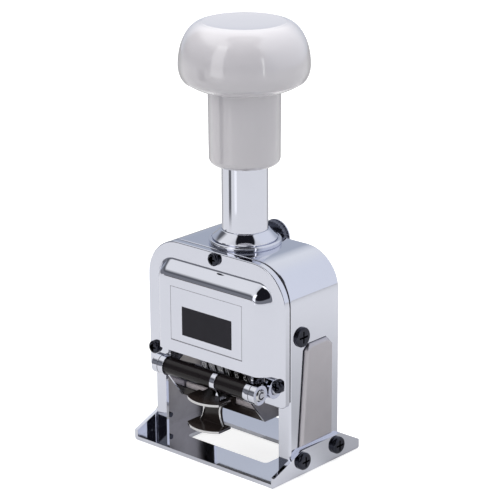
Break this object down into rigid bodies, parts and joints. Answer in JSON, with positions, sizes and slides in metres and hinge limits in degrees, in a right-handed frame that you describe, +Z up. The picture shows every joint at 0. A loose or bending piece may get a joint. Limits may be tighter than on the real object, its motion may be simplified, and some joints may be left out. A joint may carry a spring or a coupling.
{
  "type": "hand numbering machine",
  "caption": "Hand stamp that prints a serial number: a sprung plunger with number wheels in a chromed arch, and an ink pad that swings aside as it goes down.",
  "frame": {"origin": "middle of the base's underside, on the plunger's axis, as the bounding box's bottom centre", "axes": "+X to the machine's right, +Y to the back, +Z up along the plunger; the ink pad faces -Y"},
  "size_m": [0.0724, 0.053, 0.1605],
  "materials": {
    "chrome_sheet": "mirror-bright chrome plate on pressed steel",
    "black_screw": "black lacquered screw heads",
    "nickel_steel": "bright nickel plate on steel sheet",
    "bright_steel": "ground steel",
    "spring_steel": "drawn spring wire",
    "ivory_plastic": "polished warm white moulding",
    "wheel_steel": "cut and blackened steel with bright type",
    "black_enamel": "gloss black enamel",
    "felt": "inked wool felt",
    "dark_nickel": "dark nickel plate"
  },
  "bodies": {
    "frame": {"base_plate": "chrome_sheet", "base_screws": "black_screw", "housing": "chrome_sheet", "front_cover": "chrome_sheet", "back_cover": "chrome_sheet", "cover_screws": "black_screw", "collar": "chrome_sheet", "side_screws": "black_screw", "bar_hanger_left": "nickel_steel", "bar_hanger_right": "nickel_steel", "spring_bar": "bright_steel", "main_spring": "spring_steel", "pivot_bracket_left": "chrome_sheet", "pivot_bracket_right": "chrome_sheet", "pivot_shaft": "bright_steel"},
    "plunger": {"knob_cap": "ivory_plastic", "sleeve": "ivory_plastic", "stem_tube": "chrome_sheet", "spring_plug": "nickel_steel", "yoke": "nickel_steel", "wheel_shaft": "bright_steel", "shaft_clips": "bright_steel", "detent_rod": "bright_steel", "detent_pawls": "bright_steel", "cam_pins": "bright_steel"},
    "pad_carrier": {"pad_arm_left": "nickel_steel", "pad_arm_right": "nickel_steel", "pad_tube": "black_enamel", "pad_tray": "nickel_steel", "ink_pad": "felt", "finger_grip": "dark_nickel", "grip_clip": "nickel_steel"},
    "pawl_lever": {"pawl_carrier": "nickel_steel", "pawl_rod": "bright_steel", "drive_pawls": "bright_steel"},
    "stop_knob": {"stop_pin": "bright_steel", "stop_drum": "dark_nickel", "stop_cap": "chrome_sheet"},
    "repeat_selector": {"repeat_dial": "dark_nickel", "dial_hub": "nickel_steel"},
    "number_wheel_1": {"wheel_1": "wheel_steel"},
    "number_wheel_2": {"wheel_2": "wheel_steel"},
    "number_wheel_3": {"wheel_3": "wheel_steel"},
    "number_wheel_4": {"wheel_4": "wheel_steel"},
    "number_wheel_5": {"wheel_5": "wheel_steel"},
    "number_wheel_6": {"wheel_6": "wheel_steel"}
  },
  "joints": [
    {"name": "plunger_slide", "type": "slide", "parent": "frame", "child": "plunger", "axis": [0, 0, -1], "range_m": [0, 0.024], "stiffness_N_per_m": 500, "springref_m": -0.02, "deforming": ["main_spring"]},
    {"name": "pad_swing", "type": "hinge", "parent": "frame", "child": "pad_carrier", "pos_m": [0, -0.0204, 0.0323], "axis": [-1, 0, 0], "range_deg": [0, 90]},
    {"name": "pawl_swing", "type": "hinge", "parent": "plunger", "child": "pawl_lever", "pos_m": [0, 0, 0.036], "axis": [-1, 0, 0], "range_deg": [0, 36]},
    {"name": "stop_turn", "type": "hinge", "parent": "frame", "child": "stop_knob", "pos_m": [0, 0.016, 0.0772], "axis": [0, 1, 0], "range_deg": [0, 180]},
    {"name": "repeat_turn", "type": "hinge", "parent": "frame", "child": "repeat_selector", "pos_m": [0, 0.021, 0.051], "axis": [0, 1, 0], "range_deg": [0, 270]},
    {"name": "wheel_1_turn", "type": "hinge", "parent": "plunger", "child": "number_wheel_1", "pos_m": [0, 0, 0.036], "axis": [1, 0, 0], "continuous": true},
    {"name": "wheel_2_turn", "type": "hinge", "parent": "plunger", "child": "number_wheel_2", "pos_m": [0, 0, 0.036], "axis": [1, 0, 0], "continuous": true},
    {"name": "wheel_3_turn", "type": "hinge", "parent": "plunger", "child": "number_wheel_3", "pos_m": [0, 0, 0.036], "axis": [1, 0, 0], "continuous": true},
    {"name": "wheel_4_turn", "type": "hinge", "parent": "plunger", "child": "number_wheel_4", "pos_m": [0, 0, 0.036], "axis": [1, 0, 0], "continuous": true},
    {"name": "wheel_5_turn", "type": "hinge", "parent": "plunger", "child": "number_wheel_5", "pos_m": [0, 0, 0.036], "axis": [1, 0, 0], "continuous": true},
    {"name": "wheel_6_turn", "type": "hinge", "parent": "plunger", "child": "number_wheel_6", "pos_m": [0, 0, 0.036], "axis": [1, 0, 0], "continuous": true}
  ],
  "couplings": [
    {"joint": "pad_swing", "follows": "plunger_slide", "rad_per_m": 65.45},
    {"joint": "pawl_swing", "follows": "plunger_slide", "rad_per_m": 26.18}
  ]
}
